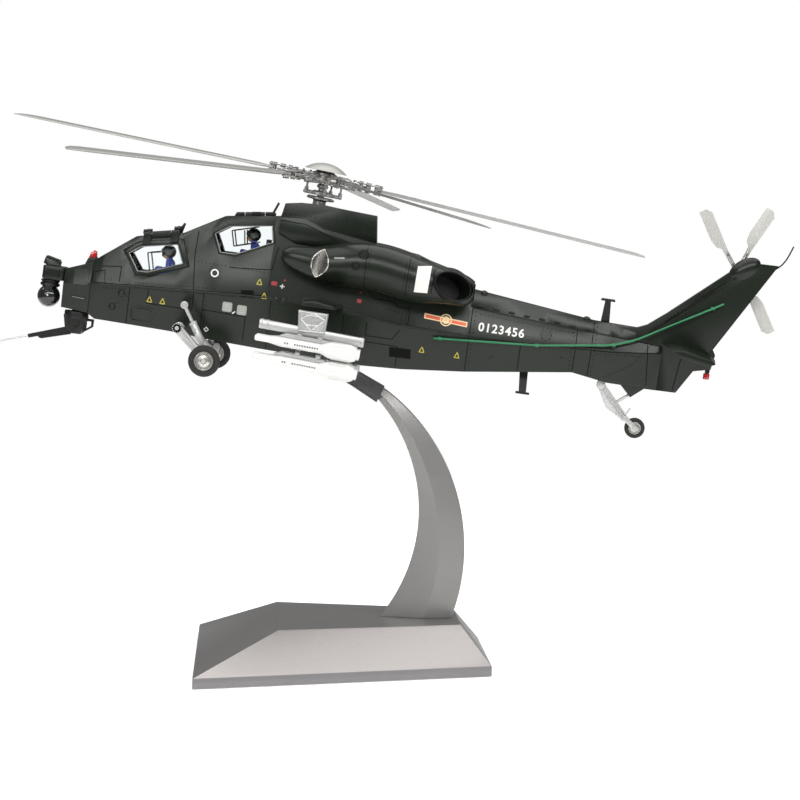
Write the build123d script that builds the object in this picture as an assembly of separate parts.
from build123d import *
import math
import os

os.makedirs("parts", exist_ok=True)

# Attack helicopter display model on a curved stand.
# World frame: origin on the table under the middle of the base, +X towards the tail,
# +Y towards the starboard side, +Z up.  All lengths are millimetres.
# The helicopter is drawn level in its own frame: x = 0 on the rotor mast, z = 0 on the
# waterline, nose towards -x.  on_stand() tips it nose up and lifts it onto the stand.

PITCH = 7.1                  # nose-up attitude on the stand, degrees
MODEL_X = -22.5              # where the helicopter's own origin sits in the world
MODEL_Z = 223.2
GAP = 0.3                    # free air between bodies that move past each other
FIT = 0.05                   # radial clearance of a running fit

# stand
BASE_YAW = 4.66              # the base is turned a little under the model
BASE_SHIFT_Y = -1.6
BASE_HALF_LENGTH = 87.3
BASE_LEFT_HALF = 86.0        # half width of the wide end
BASE_RIGHT_HALF = 46.8       # half width of the narrow end
RIM_HEIGHT = 6.0
FLAT_HEIGHT = 27.3
FLAT_START, FLAT_END = -38.6, 70.0
FLAT_LEFT_HALF, FLAT_RIGHT_HALF = 48.5, 28.0
ARM_OUTER = (-46.3, 68.4, 120.0)   # circle of the convex edge: x, z, radius
ARM_INNER = (-56.6, 91.4, 102.4)   # circle of the hollow edge
ARM_HALF_THICK = 5.5
ARM_TOP = 166.5

# fuselage
WALL = 1.6
HULL = [  # x, z low, half low, z chine, half chine, z top, half top
    (-128.5, -31.2, 7.0, -12.8, 11.0, 0.4, 7.0),
    (-124.0, -33.9, 7.6, -12.4, 12.0, 4.0, 7.6),
    (-104.9, -34.2, 9.0, -11.2, 14.6, 18.4, 8.6),
    (-77.6, -34.8, 10.0, -9.5, 16.8, 24.1, 9.6),
    (-54.0, -36.4, 11.0, -8.0, 17.8, 37.6, 9.6),
    (-23.0, -37.5, 12.0, -6.2, 18.4, 41.9, 10.0),
    (37.0, -39.0, 12.0, -10.4, 18.0, 33.7, 9.6),
    (62.0, -37.8, 11.4, -12.0, 17.0, 27.0, 9.2),
    (99.0, -34.2, 9.4, -12.0, 14.0, 4.0, 9.4),
    (162.5, -25.8, 6.6, -11.3, 10.0, -0.4, 7.0),
    (184.0, -29.2, 4.6, -10.5, 8.4, -1.6, 6.0),
    (214.0, -29.6, 3.0, -7.4, 5.0, -3.6, 3.6),
]
DOOR_FRONT = [(-111.6, 9.4), (-103.4, 15.6), (-76.6, 20.9), (-70.6, 5.0), (-94.8, -4.6), (-102.8, -4.6)]
PANE_FRONT = [(-108.2, 8.0), (-101.6, 12.9), (-79.6, 17.2), (-74.8, 6.2), (-95.2, -1.9), (-101.4, -2.0)]
DOOR_REAR = [(-61.6, 27.6), (-52.2, 34.4), (-22.6, 38.5), (-20.4, 24.3), (-44.5, 13.4), (-56.0, 13.4)]
PANE_REAR = [(-58.8, 26.6), (-50.6, 32.2), (-25.4, 35.9), (-23.4, 25.9), (-44.9, 15.9), (-54.0, 15.9)]
PIN_RADIUS = 0.5
KNUCKLE_RADIUS = 1.3

# rotor
MAST_TILT = 4.0              # mast leans aft, degrees
HUB_HEIGHT = 68.6            # along the mast from the waterline
MAST_FOOT_X = -4.2
MAST_RADIUS = 2.2
ROTOR_RADIUS = 209.0
BLADE_CHORD = 8.4
BLADES = [(14.9, -1.9), (78.2, -3.6), (162.2, -0.3), (231.5, -3.3), (297.5, -1.7)]  # azimuth, droop

# tail rotor
TAIL_HUB = (252.6, 46.8)     # x, z of its axis
TAIL_ROTOR_Y = 8.0
TAIL_RADIUS = 42.0
TAIL_BLADES = [126.8, 69.4, -53.4, -110.6]   # angles seen from port, from aft, anticlockwise

# undercarriage
GEAR_PIVOT = (-72.1, -31.2)
GEAR_AXLE = (-53.1, -47.6)
STRUT_TOP = (-69.7, -17.2)
STRUT_FOOT = (-55.6, -39.4)
STRUT_EYE = (-54.6, -42.4)   # lower eye, beside the arm
GEAR_Y = 24.0
WHEEL_Y = 33.5
WHEEL_RADIUS = 9.3
WHEEL_WIDTH = 6.6
TAIL_PIVOT = (181.4, -31.4)
TAIL_AXLE = (205.0, -54.0)
TAIL_WHEEL_RADIUS = 6.1
TAIL_WHEEL_WIDTH = 3.6

# weapons
GUN_AXIS_X = -135.8
GUN_PIVOT = (-135.9, -41.2)
WING_SPAN_HALF = 63.0
LAUNCHER_Y = 56.0


def plane_x(x):
    """A plane across the fuselage: local x is world y, local y is world z."""
    return Plane(origin=(x, 0, 0), x_dir=(0, 1, 0), z_dir=(1, 0, 0))


def plane_y(y):
    """A side-view plane seen from port: local x is aft, local y is up."""
    return Plane(origin=(0, y, 0), x_dir=(1, 0, 0), z_dir=(0, -1, 0))


def polygon(plane, points):
    return plane * make_face(Polyline(*points, close=True))


def side_plate(points, y_low, y_high):
    """A side-view outline given thickness from y_low to y_high."""
    return extrude(polygon(plane_y(y_high), points), y_high - y_low)


def tube(start, end, radius):
    """A round bar between two points."""
    line = Vector(*end) - Vector(*start)
    return extrude(Plane(origin=start, z_dir=line) * Circle(radius), line.length)


def cross_pin(x, z, y_low, y_high, radius):
    """A round bar along y."""
    return extrude(plane_y(y_high) * Pos(x, z) * Circle(radius), y_high - y_low)


def bar(start, end, width, y_low, y_high):
    """A flat bar in side view with round ends, between two x, z points."""
    length = math.hypot(end[0] - start[0], end[1] - start[1])
    turn = math.degrees(math.atan2(end[1] - start[1], end[0] - start[0]))
    middle = ((start[0] + end[0]) / 2, (start[1] + end[1]) / 2)
    shape = Pos(*middle) * Rot(0, 0, turn) * SlotCenterToCenter(length, width)
    return extrude(plane_y(y_high) * shape, y_high - y_low)


def mirrored(shape):
    return mirror(shape, about=Plane.XZ)


def on_stand(shape):
    return Pos(MODEL_X, 0, MODEL_Z) * Rot(0, PITCH, 0) * shape


def on_base(shape):
    return Pos(0, BASE_SHIFT_Y, 0) * Rot(0, 0, BASE_YAW) * shape


def save(shape, name):
    export_step(shape, "parts/" + name + ".step")


# ---------------------------------------------------------------- stand

def trapezoid(height, start, end, half_start, half_end):
    corners = [(start, -half_start), (end, -half_end), (end, half_end), (start, half_start)]
    return Pos(0, 0, height) * make_face(Polyline(*corners, close=True))


def base_outline(height, inset):
    return trapezoid(height, inset - BASE_HALF_LENGTH, BASE_HALF_LENGTH - inset,
                     BASE_LEFT_HALF - inset, BASE_RIGHT_HALF - inset)


def stand_base():
    rim = extrude(base_outline(0, 0), RIM_HEIGHT)
    flat = trapezoid(FLAT_HEIGHT, FLAT_START, FLAT_END, FLAT_LEFT_HALF, FLAT_RIGHT_HALF)
    cap = loft([base_outline(RIM_HEIGHT, 0), flat], ruled=True)
    inner_flat = trapezoid(FLAT_HEIGHT - 4, FLAT_START + 4, FLAT_END - 4,
                           FLAT_LEFT_HALF - 4, FLAT_RIGHT_HALF - 4)
    hollow = extrude(base_outline(0, 3), RIM_HEIGHT - 1)
    hollow += loft([base_outline(RIM_HEIGHT - 1, 3), inner_flat], ruled=True)
    bolt_holes = [Pos(x, 0, FLAT_HEIGHT) * Cylinder(2.1, 12) for x in (34, 54)]
    return rim + cap - hollow - bolt_holes


def base_cover():
    return extrude(base_outline(0, 3), 1.5)


def edge_x(circle, z):
    return circle[0] + math.sqrt(circle[2] ** 2 - (z - circle[1]) ** 2)


def arm_section(z, thin):
    """A six-sided section of the arm: sharp hollow edge, ridge on each face, blunt back."""
    hollow = edge_x(ARM_INNER, z)
    back = edge_x(ARM_OUTER, z)
    ridge = hollow + 0.6 * (back - hollow)
    ring = [(hollow, -1.2), (ridge, -thin), (back, -2.4), (back, 2.4), (ridge, thin), (hollow, 1.2)]
    return Pos(0, 0, z) * make_face(Polyline(*ring, close=True))


def stand_arm():
    count = 9
    rise = (ARM_TOP - FLAT_HEIGHT) / count
    sections = [arm_section(FLAT_HEIGHT + i * rise, ARM_HALF_THICK - 0.06 * i) for i in range(count + 1)]
    holes = [Pos(x, 0, FLAT_HEIGHT) * Cylinder(1.6, 20) for x in (34, 54)]
    return loft(sections) - holes


def arm_screws():
    """Two screws that hold the arm down, driven from under the base."""
    screws = []
    for x in (34, 54):
        shank = Pos(x, 0, FLAT_HEIGHT - 4) * Cylinder(1.5, 13, align=(Align.CENTER, Align.CENTER, Align.MIN))
        head = Pos(x, 0, FLAT_HEIGHT - 7) * Cylinder(3.2, 3, align=(Align.CENTER, Align.CENTER, Align.MIN))
        screws.append(shank + head)
    return Compound(children=screws)


def connector():
    """The block between the arm's tip and the belly, drawn in the world frame."""
    outline = [(0.4, 170.0), (8.0, 175.4), (24.0, 166.4), (19.6, 157.6)]
    return extrude(polygon(plane_y(7.0), outline), 14.0)


def connector_screw():
    """The lug with the screw that goes up into the belly."""
    lug = Pos(5.4, 0, 176.0) * Rot(0, PITCH, 0) * Cylinder(3.4, 6.0)
    thread = Pos(6.4, 0, 182.0) * Rot(0, PITCH, 0) * Cylinder(1.5, 12.0)
    return lug + thread


# ---------------------------------------------------------------- fuselage

def hull(inset, stations):
    faces = []
    for x, z_low, low, z_mid, mid, z_top, top in stations:
        low -= inset
        mid -= inset
        top -= inset
        z_low += inset
        z_top -= inset
        ring = [(-low, z_low), (-mid, z_mid), (-top, z_top), (top, z_top), (mid, z_mid), (low, z_low)]
        faces.append(polygon(plane_x(x), ring))
    return loft(faces, ruled=True)


OUTER = hull(0, HULL)
INNER = hull(WALL, HULL[1:10])
SHELL = OUTER - INNER


def shrink(points, step):
    """Move each corner of an outline towards its middle."""
    x_mid = sum(p[0] for p in points) / len(points)
    z_mid = sum(p[1] for p in points) / len(points)
    moved = []
    for x, z in points:
        reach = math.hypot(x - x_mid, z - z_mid)
        moved.append((x - (x - x_mid) * step / reach, z - (z - z_mid) * step / reach))
    return moved


def windscreen_cut(low, high, half, depth):
    """A slanted block over a sloping screen between two x, z points."""
    slope = math.degrees(math.atan2(high[1] - low[1], high[0] - low[0]))
    length = math.hypot(high[0] - low[0], high[1] - low[1])
    middle = ((low[0] + high[0]) / 2, 0, (low[1] + high[1]) / 2)
    return Pos(*middle) * Rot(0, -slope, 0) * Box(length, 2 * half, depth)


SCREENS = [((-121.6, 5.8), (-107.0, 16.8), 6.2), ((-75.4, 25.4), (-56.4, 36.2), 7.4)]


# hinge lines: two points each, on the roof edge just outside the skin
FRONT_HINGE = [(-100.6, -9.6, 20.3), (-79.8, -10.3, 24.6)]
REAR_HINGE = [(-49.4, 10.5, 39.2), (-27.2, 10.8, 42.3)]


def along(line, t):
    start, end = line
    return tuple(a + (b - a) * t for a, b in zip(start, end))


def knuckle(line, t_low, t_high):
    return tube(along(line, t_low), along(line, t_high), KNUCKLE_RADIUS)


def bore(line):
    return tube(along(line, -0.05), along(line, 1.05), PIN_RADIUS + FIT)


def fuselage_half(side):
    half_space = Pos(50, side * 50, 0) * Box(500, 100, 300)
    skin = SHELL & half_space
    for low, high, half in SCREENS:
        skin -= windscreen_cut(low, high, half, 6)
    own_door = DOOR_FRONT if side < 0 else DOOR_REAR
    own_pane = PANE_REAR if side < 0 else PANE_FRONT
    line = FRONT_HINGE if side < 0 else REAR_HINGE
    y_low, y_high = (-30, -4) if side < 0 else (4, 30)
    skin -= side_plate(own_door, y_low, y_high)
    skin -= side_plate(own_pane, y_low, y_high)
    skin -= knuckle_space(line)
    rail = knuckle(line, 0.24, 0.76) + rib_along(line, 0.24, 0.76, side, RAIL_RING)
    return skin + (rail - bore(line)) - belly_socket()


def knuckle_space(line):
    """Room in the skin for the door's two end knuckles to turn."""
    radius = KNUCKLE_RADIUS + GAP
    return tube(along(line, -0.03), along(line, 0.24), radius) + tube(along(line, 0.76), along(line, 1.03), radius)


def rib_along(line, t_low, t_high, side, ring):
    """A rib under the hinge line; ring holds (outward, up) points measured from the line."""
    start = Vector(*along(line, t_low))
    end = Vector(*along(line, t_high))
    points = [(start.Y + side * out, start.Z + up) for out, up in ring]
    return extrude(polygon(plane_x(start.X), points), (end - start).length, dir=end - start)


RAIL_RING = [(-1.8, -2.4), (0.9, -2.4), (0.9, 0.0), (-1.8, 0.0)]
LUG_RING = [(0.1, 0.0), (1.2, 0.0), (1.2, -6.1), (-1.2, -6.1), (-1.2, -4.7), (0.1, -4.7)]


def belly_socket():
    """The hole in the belly for the stand's screw, in the helicopter's own frame."""
    local = Rot(0, -PITCH, 0) * Pos(-MODEL_X, 0, -MODEL_Z)
    return local * Pos(6.4, 0, 182.0) * Rot(0, PITCH, 0) * Cylinder(1.5, 13.0)


def door(side):
    outline = DOOR_FRONT if side < 0 else DOOR_REAR
    pane = PANE_FRONT if side < 0 else PANE_REAR
    line = FRONT_HINGE if side < 0 else REAR_HINGE
    y_low, y_high = (-30, -4) if side < 0 else (4, 30)
    panel = SHELL & side_plate(shrink(outline, GAP + 0.1), y_low, y_high)
    panel -= side_plate(pane, y_low, y_high)
    panel -= tube(along(line, 0.21), along(line, 0.79), KNUCKLE_RADIUS + GAP)
    for t_low, t_high in ((0.0, 0.22), (0.78, 1.0)):
        panel += knuckle(line, t_low, t_high) + rib_along(line, t_low, t_high, side, LUG_RING)
    return panel - bore(line)


def door_glass(side):
    pane = PANE_FRONT if side < 0 else PANE_REAR
    y_low, y_high = (-30, -4) if side < 0 else (4, 30)
    return SHELL & side_plate(pane, y_low, y_high)


def canopy_glass():
    """The two sloping screens and the two fixed side panes."""
    panes = [SHELL & windscreen_cut(low, high, half, 6) for low, high, half in SCREENS]
    panes.append(SHELL & side_plate(PANE_REAR, -30, -4))
    panes.append(SHELL & side_plate(PANE_FRONT, 4, 30))
    return Compound(children=panes)


def door_hinge_pins():
    pins = [tube(along(line, 0.0), along(line, 1.0), PIN_RADIUS) for line in (FRONT_HINGE, REAR_HINGE)]
    return Compound(children=pins)


def cockpit_tub():
    """Floor, bulkheads, seats and instrument coamings in one moulding."""
    floor = Pos(-72, 0, -13.0) * Box(98, 20, 1.6)
    tub = floor
    tub += Pos(-64.0, 0, -1.5) * Box(1.6, 18, 24)
    tub += Pos(-24.0, 0, 4.0) * Box(1.6, 16, 35)
    tub += Pos(-73.0, 0, -6.5) * Box(17, 11, 12)
    tub += Pos(-69.0, 0, 3.0) * Rot(0, 12, 0) * Box(2.6, 10, 22)
    tub += Pos(-33.0, 0, 0.0) * Box(17, 11, 25)
    tub += Pos(-27.0, 0, 18.0) * Box(2.6, 10, 18)
    tub += Pos(-108.0, 0, -5.0) * Box(5, 13, 15)
    tub += Pos(-58.5, 0, 4.0) * Box(5, 13, 33)
    return tub


def pilot(x, z):
    """A seated figure: torso, helmet, thighs and forearms."""
    helmet = Pos(x, 0, z) * Sphere(4.1)
    torso = Pos(x + 1.6, 0, z - 9.0) * Rot(0, 8, 0) * Box(6.0, 8.4, 12.0)
    neck = Pos(x + 0.8, 0, z - 3.6) * Cylinder(1.8, 3)
    arms = [Pos(x - 3.4, s * 4.4, z - 10.6) * Box(9.0, 2.0, 2.4) for s in (-1, 1)]
    return helmet + neck + torso + arms


def pilots():
    return Compound(children=[pilot(-85.4, 11.6) - cockpit_tub(), pilot(-36.5, 28.6) - cockpit_tub()])


# ---------------------------------------------------------------- nose

def nose_cap():
    front = [(-6.4, -29.8), (-8.8, -15.0), (-6.0, -6.6), (6.0, -6.6), (8.8, -15.0), (6.4, -29.8)]
    back = [(-7.4, -31.0), (-11.4, -13.0), (-7.4, -0.4), (7.4, -0.4), (11.4, -13.0), (7.4, -31.0)]
    block = loft([polygon(plane_x(-144.8), front), polygon(plane_x(-128.5), back)], ruled=True)
    return block - OUTER - gun_stem(3.0 + FIT, -26.7)


def nose_bracket():
    """The fixed arm that carries the sensor ball, with the small sensor box on top."""
    block = Pos(-151.6, 0, -10.3) * Box(13.6, 13.0, 8.2)
    block = fillet(block.edges().filter_by(Axis.Z), 2.0)
    box = Pos(-153.8, 0, -4.4) * Rot(0, 13, 0) * Box(9.6, 7.0, 4.4)
    return block + box - sensor_stem(2.0 + FIT, -10.7)


def sensor_stem(radius, top):
    return tube((-153.8, 0, -16.0), (-153.8, 0, top), radius)


def sensor_yoke():
    """The turning collar and its stem, cut to the ball's shape below."""
    collar = Pos(-153.8, 0, -16.9) * Cylinder(4.9, 4.4) + sensor_stem(2.0, -11.0)
    return collar - Pos(-153.8, 0, -24.5) * Sphere(6.8)


def sensor_ball():
    ball = Pos(-153.8, 0, -24.5) * Sphere(6.8)
    window = Pos(-153.8, -6.6, -24.5) * Rot(90, 0, 0) * Cylinder(2.6, 1.4)
    return ball - window


def beacons():
    top_base = Pos(-132.6, 0, 0.0) * Cylinder(2.6, 4.4)
    top_lamp = Pos(-132.4, 0, 4.0) * Cylinder(2.1, 4.0)
    low_base = Pos(243.2, 0, -14.4) * Cylinder(1.4, 3.4)
    low_lamp = Pos(242.8, 0, -17.6) * Cylinder(1.9, 3.2)
    return Compound(children=[top_base + top_lamp - nose_cap(), low_base + low_lamp - tail_fin()])


# ---------------------------------------------------------------- gun

def gun_stem(radius, top):
    return tube((GUN_AXIS_X, 0, -33.0), (GUN_AXIS_X, 0, top), radius)


def gun_turret():
    ring = Pos(GUN_AXIS_X, 0, -33.6) * Cylinder(7.2, 4.4)
    body = side_plate([(-142.6, -33.8), (-141.0, -41.4), (-136.4, -44.6), (-131.2, -44.4),
                       (-129.0, -34.0)], -6.0, 6.0)
    slot = side_plate([(-150.0, -36.4), (-150.0, -50.0), (-131.8, -50.0), (-131.8, -36.4)], -2.9, 2.9)
    frame = side_plate([(-130.2, -35.0), (-125.0, -35.0), (-125.0, -39.6), (-130.6, -43.6)], -1.4, 1.4)
    frame_hole = side_plate([(-129.0, -36.4), (-126.2, -36.4), (-126.2, -39.0), (-129.0, -41.0)], -2.0, 2.0)
    bore_hole = cross_pin(*GUN_PIVOT, -10, 10, 1.2 + FIT)
    return ring + gun_stem(3.0, -27.0) + body - slot + (frame - frame_hole) - bore_hole


def gun_point(reach):
    """A point on the barrel's axis at a distance forward of the pivot."""
    down = math.radians(18.2)
    return (GUN_PIVOT[0] - reach * math.cos(down), 0, GUN_PIVOT[1] - reach * math.sin(down))


def gun_cradle():
    pin = cross_pin(*GUN_PIVOT, -6.0, 6.0, 1.2)
    breech = cross_pin(*GUN_PIVOT, -2.5, 2.5, 3.2)
    shroud = tube(gun_point(0), gun_point(28.5), 1.25)
    rib = bar(gun_point(2)[::2], gun_point(24)[::2], 1.2, -0.5, 0.5)
    rib = Pos(0, 0, -1.2) * rib
    bore_hole = tube(gun_point(20), gun_point(30), 0.66)
    return pin + breech + shroud + rib - bore_hole


def gun_barrel():
    return tube(gun_point(20.2), gun_point(52.0), 0.62)


# ---------------------------------------------------------------- engines and upper works

def rotor_fairing():
    column = side_plate([(-21.5, 33.0), (-21.4, 42.0), (-19.8, 50.0), (-11.2, 51.5), (1.8, 52.0),
                         (13.5, 51.1), (25.1, 50.4), (34.8, 49.9), (37.0, 33.0)], -8.6, 8.6)
    shoulder = side_plate([(-21.4, 33.0), (-21.0, 41.6), (-6.0, 42.6), (13.0, 35.0), (30.0, 31.0),
                           (30.0, 28.0), (-10.0, 28.0)], -14.5, 14.5)
    mast_hole = mast_line(44.7, 60, MAST_RADIUS + FIT)
    return column + shoulder - OUTER - mast_hole


def nacelle_solid(side):
    """An engine cover: rounded sections that swell behind the intake and taper to the exhaust."""
    stations = [(-17.0, 20.0, 2.0, 2.2), (-12.0, 19.6, 5.6, 6.0), (0.0, 18.2, 8.6, 9.0),
                (12.0, 18.4, 12.0, 11.6), (30.0, 20.2, 13.4, 13.4), (52.0, 18.2, 13.4, 13.8),
                (74.0, 15.2, 13.0, 11.4), (90.0, 13.6, 9.8, 9.0), (98.5, 14.0, 4.6, 4.6)]
    rings = []
    for x, z, half_wide, half_high in stations:
        rings.append(plane_x(x) * Pos(side * 22.0, z) * Ellipse(half_wide, half_high))
    return loft(rings)


def exhaust_axis(side, start, end, half_long, half_short):
    """An oval bar along the exhaust, which points outboard, aft and a little up."""
    direction = Vector(0.42, side * 0.88, 0.22).normalized()
    origin = Vector(82.0, side * 24.0, 14.4) + direction * start
    plane = Plane(origin=origin, x_dir=(1, side * -0.42, -0.25), z_dir=direction)
    return extrude(plane * Ellipse(half_long, half_short), end - start)


def engine_cover(side):
    cover = nacelle_solid(side) - OUTER - rotor_fairing()
    cover -= exhaust_axis(side, -6.0, 30.0, 12.4, 8.6)
    cover -= intake_block(side)
    return cover


def intake_block(side):
    """The intake mouth, from outboard to 1.2 mm under the cover's surface."""
    leaf = Pos(6.4, 18.4) * Rot(0, 0, 80) * Ellipse(8.0, 4.6)
    y_high = -26.6 if side < 0 else 44.0
    return extrude(plane_y(y_high) * leaf, 17.4)


def intake_screens():
    """Domed mesh covers in the two intake mouths."""
    screens = []
    for side in (-1, 1):
        inside = nacelle_solid(side) & intake_block(side)
        screens.append(inside)
    return Compound(children=screens)


def exhaust_pipes():
    pipes = []
    for side in (-1, 1):
        wall = exhaust_axis(side, -6.0, 8.4, 12.4, 8.6) - exhaust_axis(side, -4.6, 12.0, 11.5, 7.7)
        pipes.append(wall - OUTER)
    return Compound(children=pipes)


def spine_section(x, z_low, low, z_top, top):
    ring = [(-low, z_low), (-top, z_top), (top, z_top), (low, z_low)]
    return polygon(plane_x(x), ring)


def tail_spine():
    """The raised cover over the tail rotor drive, from the engine deck to the fin."""
    deck = loft([spine_section(37.2, 26.0, 9.6, 33.6, 9.2), spine_section(62.5, 20.0, 9.6, 30.6, 8.2),
                 spine_section(76.0, 12.0, 9.6, 26.0, 7.0), spine_section(96.4, 3.0, 9.2, 18.2, 4.0)], ruled=True)
    ridge = loft([spine_section(96.4, 0.0, 9.2, 15.2, 3.6), spine_section(171.9, -3.0, 6.4, 6.6, 2.6),
                  spine_section(197.4, -5.0, 4.6, 6.0, 2.0)], ruled=True)
    return deck + ridge - OUTER - nacelle_solid(-1) - nacelle_solid(1) - rotor_fairing() - tail_fin()


# ---------------------------------------------------------------- tail

def tail_fin():
    """The swept fin with the tail end of the boom and the gearbox dome at its tip."""
    outline = [(190.0, 5.0), (198.0, 6.0), (203.6, 8.4), (214.2, 16.9), (246.7, 45.5), (255.5, 53.3),
               (275.3, 53.7), (244.1, -0.9), (245.9, -4.0), (244.5, -12.9), (234.3, -15.3),
               (225.8, -29.5), (206.9, -29.8), (199.5, -36.0), (193.0, -29.6)]
    plate = side_plate(outline, -2.8, 2.8)
    dome = Pos(256.0, 0, 48.6) * Rot(0, -38, 0) * scale(Sphere(1), (10.4, 5.6, 6.2))
    return plate + dome - OUTER - tail_hub_space()


def tail_hub_space():
    """The bore for the tail rotor shaft."""
    return cross_pin(*TAIL_HUB, 0.5, 20, 1.4 + FIT)


def stabiliser():
    """One aerofoil plane on each side of the tail end."""
    planes = []
    for side in (-1, 1):
        root = [(213.0, -1.0), (222.0, 0.6), (243.0, -3.6), (246.4, -7.0), (240.0, -10.6), (222.0, -6.0)]
        tip = [(217.0, -3.4), (224.0, -2.0), (240.0, -5.4), (242.4, -7.4), (238.0, -9.4), (224.0, -6.4)]
        inner = polygon(plane_y(side * 2.0), root)
        outer = polygon(plane_y(side * 42.0), tip)
        planes.append(loft([inner, outer], ruled=True) - OUTER - tail_fin())
    return Compound(children=planes)


def tail_rotor_hub():
    shaft = cross_pin(*TAIL_HUB, 0.8, TAIL_ROTOR_Y + 1.4, 1.4)
    boss = cross_pin(*TAIL_HUB, TAIL_ROTOR_Y - 1.6, TAIL_ROTOR_Y + 2.0, 3.6)
    return shaft + boss


def tail_rotor_blades():
    """Four blades with pointed tips; each joins the hub with a narrow neck."""
    blades = []
    outline = [(3.4, -1.3), (15.0, -1.4), (38.5, -3.9), (41.8, -1.6), (TAIL_RADIUS, 2.9), (24.0, 4.7),
               (19.0, 3.9), (16.2, 1.4), (3.4, 1.3)]
    for angle in TAIL_BLADES:
        flat = Pos(*TAIL_HUB) * Rot(0, 0, angle) * make_face(Polyline(*outline, close=True))
        plate = extrude(plane_y(TAIL_ROTOR_Y + 0.7) * flat, 1.4)
        blades.append(plate - tail_rotor_hub())
    return Compound(children=blades)


# ---------------------------------------------------------------- aerials

def aerials():
    """Roof blades and whips, boom antennas and the posts of the long rod aerial."""
    pieces = []
    pieces.append(side_plate([(-82.8, 22.0), (-79.4, 22.4), (-77.6, 29.6), (-78.8, 30.0)], -0.6, 0.6))
    pieces.append(side_plate([(-49.4, 37.6), (-44.8, 38.4), (-45.6, 40.4), (-49.0, 39.8)], -1.6, 1.6))
    pieces.append(side_plate([(-39.6, 39.0), (-34.0, 39.8), (-34.4, 42.8), (-39.2, 42.2)], -2.2, 2.2))
    foot = side_plate([(-31.4, 40.0), (-25.0, 41.0), (-25.2, 43.4), (-30.4, 42.8)], -1.6, 1.6)
    pieces.append(foot + tube((-27.2, 0, 42.0), (-24.2, 0, 49.6), 0.7))
    up_post = side_plate([(175.6, 5.0), (181.0, 5.0), (180.0, 19.0), (176.6, 19.0)], -0.8, 0.8)
    pieces.append(up_post + side_plate([(174.0, 19.0), (182.6, 19.0), (182.2, 20.4), (174.4, 20.4)], -1.6, 1.6))
    low_post = side_plate([(132.0, -29.0), (137.0, -28.4), (137.6, -42.0), (133.2, -42.0)], -0.8, 0.8)
    pieces.append(low_post + side_plate([(131.4, -43.2), (139.6, -43.2), (139.6, -42.0), (131.4, -42.0)], -1.6, 1.6))
    pieces.append(tube((273.2, 0, 50.6), (282.7, 0, 66.5), 0.6))
    for side in (-1, 1):
        for x, y, z in AERIAL_POSTS:
            pieces.append(tube((x, side * (y - 6.5), z), (x, side * (y - 0.7), z), 0.55))
    blocked = OUTER + tail_fin()
    return Compound(children=[piece - blocked - tail_spine() for piece in pieces])


AERIAL_ROUTE = [(78.2, 17.6, -16.4), (139.5, 13.4, -12.4), (184.0, 10.8, -6.2), (198.0, 8.8, -1.0), (246.2, 5.2, 27.0)]
AERIAL_POSTS = [(82.0, 17.4, -16.1), (139.5, 13.4, -12.4), (184.6, 10.7, -6.0), (240.0, 5.7, 23.4)]


def aerial_rod():
    """The long green rod aerial along each side of the boom and up the fin."""
    rods = []
    for side in (-1, 1):
        points = [(x, side * y, z) for x, y, z in AERIAL_ROUTE]
        path = FilletPolyline(*points, radius=8.0)
        section = Plane(origin=points[0], z_dir=path % 0) * Circle(0.6)
        rods.append(sweep(section, path=path))
    return Compound(children=rods)


# ---------------------------------------------------------------- main rotor

def mast_line(low, high, radius):
    """A bar along the tilted mast between two heights."""
    return mast_place(Pos(0, 0, (low + high) / 2) * Cylinder(radius, high - low))


def mast_place(shape):
    return Pos(MAST_FOOT_X, 0, 0) * Rot(0, MAST_TILT, 0) * shape


def rotor_mast():
    return mast_line(45.0, 73.2, MAST_RADIUS)


def swashplate_fixed():
    ring = Pos(0, 0, 55.4) * Cylinder(7.6, 2.6) + Pos(0, 0, 51.8) * Cylinder(4.6, 5.0)
    ring -= Pos(0, 0, 55.4) * Cylinder(MAST_RADIUS + GAP, 16.0)
    return mast_place(ring) - rotor_fairing()


def swashplate_turning():
    """The turning plate with a horn and an upright pitch link for each blade."""
    plate = Pos(0, 0, 58.5) * Cylinder(9.0, 2.4)
    for angle, _ in BLADES:
        plate += Rot(0, 0, angle - 14) * Pos(9.8, 0, 58.5) * Box(4.6, 2.6, 2.4)
        plate += Rot(0, 0, angle - 14) * Pos(11.0, 0, 61.9) * Cylinder(0.8, 6.4)
    return mast_place(plate - Pos(0, 0, 58.5) * Cylinder(MAST_RADIUS, 6.0))


def rotor_hub():
    """The boss and its five arms, with a socket for each blade grip."""
    boss = Pos(0, 0, HUB_HEIGHT) * Cylinder(7.0, 7.0)
    hub = boss
    for angle, droop in BLADES:
        arm = Rot(0, 0, angle) * Pos(0, 0, HUB_HEIGHT) * Rot(0, -droop, 0) * Pos(13.0, 0, 0) * Box(16.0, 5.6, 4.2)
        hub += arm
    return mast_place(hub - Pos(0, 0, HUB_HEIGHT) * Cylinder(MAST_RADIUS, 12.0))


def hub_cap():
    dome = Pos(0, 0, 57.4) * Sphere(19.6)
    slab = Pos(0, 0, 80.0) * Box(60, 60, 2 * (80.0 - 72.5))
    collar = Pos(0, 0, 73.0) * Cylinder(5.0, 1.6)
    return mast_place((dome & slab) + collar - Pos(0, 0, 68.2) * Cylinder(MAST_RADIUS, 10.0))


def blade_place(angle, droop, shape):
    return mast_place(Rot(0, 0, angle) * Pos(0, 0, HUB_HEIGHT) * Rot(0, -droop, 0) * shape)


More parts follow.
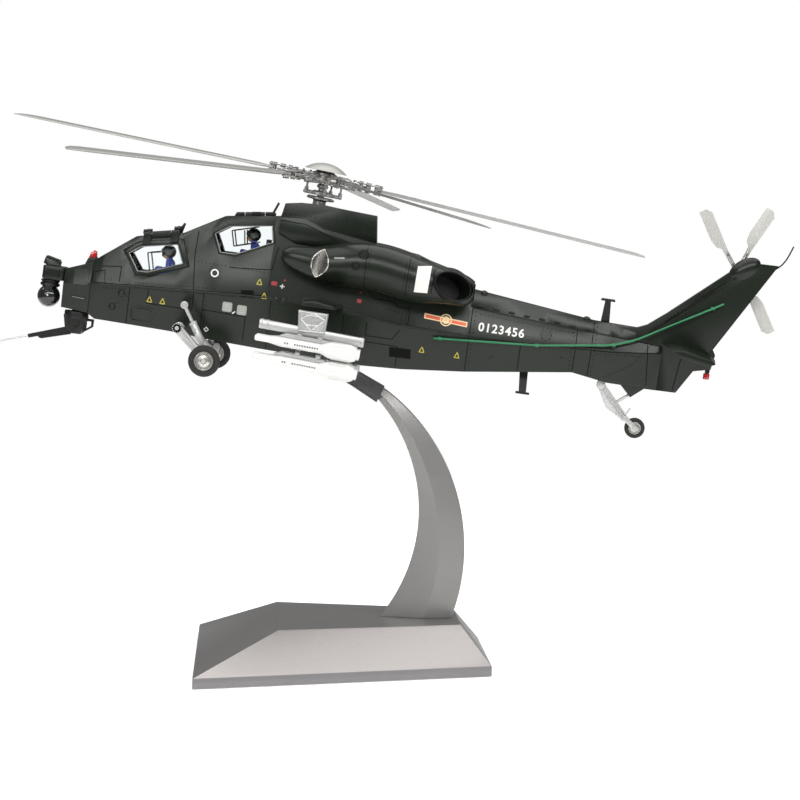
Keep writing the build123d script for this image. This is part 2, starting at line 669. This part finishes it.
def main_blade(angle, droop):
    """Grip, neck and a long blade with a swept tip, twisted flat."""
    half = BLADE_CHORD / 2
    outline = [(34.0, -1.6), (42.0, -half), (ROTOR_RADIUS - 12, -half), (ROTOR_RADIUS - 4, -half + 0.6),
               (ROTOR_RADIUS, half - 0.8), (ROTOR_RADIUS - 1.5, half), (40.0, half), (34.0, 1.8)]
    blade = extrude(Pos(0, 0, -0.7) * make_face(Polyline(*outline, close=True)), 1.4)
    grip = Pos(27.8, 0, 0) * Box(13.4, 4.8, 3.4)
    return blade_place(angle, droop, grip + blade)


# ---------------------------------------------------------------- undercarriage

def gear_arm(side):
    """The trailing arm, its pivot barrel and the wheel's axle."""
    y_low, y_high = GEAR_Y - 2.2, GEAR_Y + 2.2
    arm = bar(GEAR_PIVOT, GEAR_AXLE, 5.0, y_low, y_high)
    barrel = cross_pin(*GEAR_PIVOT, 17.4, GEAR_Y + 3.0, 2.4)
    axle = cross_pin(*GEAR_AXLE, y_low, WHEEL_Y + 3.6, 1.3)
    lug = bar(GEAR_AXLE, (GEAR_AXLE[0] + 1.0, GEAR_AXLE[1] + 5.0), 4.0, y_low, y_high)
    shape = arm + barrel + axle + lug - gear_pin_bore()
    return shape if side > 0 else mirrored(shape)


def gear_pin_bore():
    return cross_pin(*GEAR_PIVOT, 10, 40, 1.2 + FIT)


def gear_pins():
    """Pivot pins of the arms and of the shock struts, held in the fuselage."""
    pins = []
    for side in (-1, 1):
        pivot = cross_pin(*GEAR_PIVOT, 10.0, GEAR_Y + 3.4, 1.2)
        top = cross_pin(*STRUT_TOP, 14.0, GEAR_Y + 2.6, 1.0)
        pair = (pivot + side_web()) + top - OUTER
        pair = Compound(children=pair.solids())
        pins.append(pair if side > 0 else mirrored(pair))
    return Compound(children=[solid for pair in pins for solid in pair.solids()])


def side_web():
    """A boss on the belly side that the pivot pin stands in."""
    return cross_pin(*GEAR_PIVOT, 10.0, 17.0, 3.0)


def strut_angle():
    return math.atan2(STRUT_FOOT[1] - STRUT_TOP[1], STRUT_FOOT[0] - STRUT_TOP[0])


def strut_point(reach):
    turn = strut_angle()
    return (STRUT_TOP[0] + reach * math.cos(turn), GEAR_Y, STRUT_TOP[1] + reach * math.sin(turn))


def shock_rod(side):
    """The thin upper rod with its eye on the top pin."""
    eye = cross_pin(*STRUT_TOP, GEAR_Y - 1.6, GEAR_Y + 1.6, 2.2)
    rod = tube(strut_point(0), strut_point(17.5), 1.1)
    shape = eye + rod - cross_pin(*STRUT_TOP, 10, 40, 1.0 + FIT)
    return shape if side > 0 else mirrored(shape)


def shock_tube(side):
    """The thick lower tube that slides on the rod; its foot stands beside the arm's lug."""
    body = tube(strut_point(11.0), strut_point(24.0), 2.2)
    high = strut_point(20.0)[::2]
    body += bar(high, strut_point(23.0)[::2], 3.6, GEAR_Y, GEAR_Y + 3.6)
    body += bar(high, STRUT_EYE, 3.0, GEAR_Y + 2.5, GEAR_Y + 3.6)
    shape = body - tube(strut_point(10.0), strut_point(21.5), 1.1 + FIT)
    return shape if side > 0 else mirrored(shape)


def wheel(side, centre_x, centre_z, y, radius, width, axle_radius):
    """Hub and tyre, as two solids in one node."""
    inner = y - width / 2
    outer = y + width / 2
    tyre = cross_pin(centre_x, centre_z, inner, outer, radius)
    tyre = fillet(tyre.edges(), width * 0.3)
    tyre -= cross_pin(centre_x, centre_z, inner - 1, outer + 1, radius * 0.6)
    hub = cross_pin(centre_x, centre_z, inner + 0.6, outer - 0.6, radius * 0.6)
    hub -= cross_pin(centre_x, centre_z, inner - 1, outer + 1, axle_radius + FIT)
    shape = Compound(children=[tyre, hub])
    return shape if side > 0 else mirrored(shape)


def tail_gear_leg():
    """The tail leg with its fork and the thin brace up to the tail cone."""
    upper = side_plate([(178.6, -30.4), (183.8, -30.6), (196.4, -44.0), (199.8, -48.0), (197.6, -50.6),
                        (186.2, -44.2)], -1.5, 1.5)
    upper += cross_pin(*TAIL_PIVOT, -1.5, 1.5, 2.6)
    cheeks = bar((199.4, -49.6), TAIL_AXLE, 3.0, -3.4, -2.4) + bar((199.4, -49.6), TAIL_AXLE, 3.0, 2.4, 3.4)
    bridge = side_plate([(197.0, -47.0), (200.4, -48.4), (199.4, -51.0), (196.6, -50.4)], -3.4, 3.4)
    axle = cross_pin(*TAIL_AXLE, -3.4, 3.4, 0.9)
    brace = tube((191.0, 0, -40.8), (199.0, 0, -34.6), 0.9)
    return upper + cheeks + bridge + axle + brace - cross_pin(*TAIL_PIVOT, -10, 10, 1.0) - OUTER - tail_fin()


def tail_gear_pin():
    return cross_pin(*TAIL_PIVOT, -2.6, 2.6, 1.0)


def tail_gear_mount():
    """Two cheeks under the boom that hold the tail leg's pin."""
    cheek = bar(TAIL_PIVOT, (TAIL_PIVOT[0], TAIL_PIVOT[1] + 4.6), 4.4, 1.8, 2.6)
    return cheek + mirrored(cheek) + tail_gear_pin() - OUTER


def gear_mounts():
    return Compound(children=[*gear_pins().solids(), *tail_gear_mount().solids()])


# ---------------------------------------------------------------- wings and weapons

def stub_wing(side):
    root = [(-3.0, -5.8), (-1.0, -2.8), (8.0, -1.4), (21.0, -3.6), (23.0, -6.0)]
    tip = [(0.0, -5.6), (1.6, -3.4), (8.0, -2.4), (19.0, -3.8), (20.7, -5.6)]
    wing = loft([polygon(plane_y(14.0), root), polygon(plane_y(WING_SPAN_HALF), tip)], ruled=True)
    wing = wing - OUTER
    return wing if side > 0 else mirrored(wing)


def weapon_pylon(side):
    body = side_plate([(-0.8, -6.2), (16.6, -6.2), (16.2, -20.6), (0.4, -21.4)], LAUNCHER_Y - 3.4, LAUNCHER_Y + 3.4)
    body -= stub_wing(1)
    return body if side > 0 else mirrored(body)


def launcher(side):
    """Upper beam and the four launch rails on their cross frame."""
    beam = tube((-22.2, LAUNCHER_Y, -19.4), (39.0, LAUNCHER_Y, -22.4), 2.6)
    frame = beam
    for x in (2.0, 14.0):
        frame += Pos(x, LAUNCHER_Y, -29.4) * Box(3.0, 2.0, 15.0)
        frame += Pos(x, LAUNCHER_Y, -27.4) * Box(3.0, 8.0, 1.6)
        frame += Pos(x, LAUNCHER_Y, -36.2) * Box(3.0, 8.0, 1.6)
    frame -= side_plate([(-0.8, -6.2), (16.6, -6.2), (16.2, -20.6), (0.4, -21.4)], LAUNCHER_Y - 3.4, LAUNCHER_Y + 3.4)
    return frame if side > 0 else mirrored(frame)


def missile(y, nose, tail):
    """Slim nose, body and a fat rear section."""
    def at(t):
        return (nose[0] + (tail[0] - nose[0]) * t, y, nose[1] + (tail[1] - nose[1]) * t)
    body = tube(at(0.0), at(0.16), 1.8) + tube(at(0.12), at(0.70), 2.5)
    return body + tube(at(0.68), at(0.96), 3.9) + tube(at(0.94), at(1.0), 2.8)


def missiles(side):
    group = []
    for offset in (-5.4, 5.4):
        group.append(missile(LAUNCHER_Y + offset, (-23.5, -27.4), (37.0, -29.6)))
        group.append(missile(LAUNCHER_Y + offset, (-23.5, -38.0), (36.0, -41.0)))
    group = [item - launcher(1) for item in group]
    shape = Compound(children=group)
    return shape if side > 0 else mirrored(shape)


def both_sides(make):
    return Compound(children=[solid for side in (-1, 1) for solid in make(side).solids()])


# ---------------------------------------------------------------- write every node

def write_all():
    save(on_base(stand_base()), "stand_base")
    save(on_base(base_cover()), "base_cover")
    save(on_base(stand_arm()), "stand_arm")
    save(Compound(children=[*on_base(arm_screws()).solids(), connector_screw()]), "stand_screws")
    save(connector() - on_base(stand_arm()) - connector_screw(), "connector_block")

    save(on_stand(fuselage_half(-1)), "fuselage_left")
    save(on_stand(fuselage_half(1)), "fuselage_right")
    save(on_stand(cockpit_tub()), "cockpit_tub")
    save(on_stand(pilots()), "pilots")
    save(on_stand(canopy_glass()), "canopy_glass")
    save(on_stand(door(-1)), "front_door")
    save(on_stand(door_glass(-1)), "front_door_glass")
    save(on_stand(door(1)), "rear_door")
    save(on_stand(door_glass(1)), "rear_door_glass")
    save(on_stand(door_hinge_pins()), "door_hinge_pins")

    save(on_stand(nose_cap()), "nose_cap")
    save(on_stand(nose_bracket() - nose_cap()), "nose_bracket")
    save(on_stand(sensor_yoke()), "sensor_yoke")
    save(on_stand(sensor_ball()), "sensor_ball")
    save(on_stand(beacons()), "beacons")
    save(on_stand(gun_turret()), "gun_turret")
    save(on_stand(gun_cradle()), "gun_cradle")
    save(on_stand(gun_barrel()), "gun_barrel")

    save(on_stand(rotor_fairing()), "rotor_fairing")
    save(on_stand(engine_cover(-1)), "left_engine_cover")
    save(on_stand(engine_cover(1)), "right_engine_cover")
    save(on_stand(intake_screens()), "intake_screens")
    save(on_stand(exhaust_pipes()), "exhaust_pipes")
    save(on_stand(tail_spine()), "tail_spine")
    save(on_stand(tail_fin()), "tail_fin")
    save(on_stand(stabiliser()), "stabiliser")
    save(on_stand(tail_rotor_hub()), "tail_rotor_hub")
    save(on_stand(tail_rotor_blades()), "tail_rotor_blades")
    save(on_stand(aerials()), "aerials")
    save(on_stand(aerial_rod()), "aerial_rods")

    save(on_stand(rotor_mast()), "rotor_mast")
    save(on_stand(swashplate_fixed()), "swashplate_fixed")
    save(on_stand(swashplate_turning()), "swashplate_turning")
    save(on_stand(rotor_hub()), "rotor_hub")
    save(on_stand(hub_cap()), "hub_cap")
    for number, (angle, droop) in enumerate(BLADES, 1):
        blade = main_blade(angle, droop) - rotor_hub()
        save(on_stand(blade), "main_blade_" + str(number))

    save(on_stand(gear_mounts()), "gear_mounts")
    save(on_stand(tail_gear_leg()), "tail_gear_leg")
    save(on_stand(wheel(1, *TAIL_AXLE, 0, TAIL_WHEEL_RADIUS, TAIL_WHEEL_WIDTH, 0.9)), "tail_wheel")
    for side, name in ((-1, "left"), (1, "right")):
        save(on_stand(gear_arm(side)), name + "_gear_arm")
        save(on_stand(shock_rod(side)), name + "_shock_rod")
        save(on_stand(shock_tube(side)), name + "_shock_tube")
        main_wheel = wheel(side, *GEAR_AXLE, WHEEL_Y, WHEEL_RADIUS, WHEEL_WIDTH, 1.3)
        save(on_stand(main_wheel), name + "_main_wheel")
    for make, name in ((stub_wing, "stub_wings"), (weapon_pylon, "weapon_pylons"),
                       (launcher, "launchers"), (missiles, "missiles")):
        save(on_stand(both_sides(make)), name)


write_all()
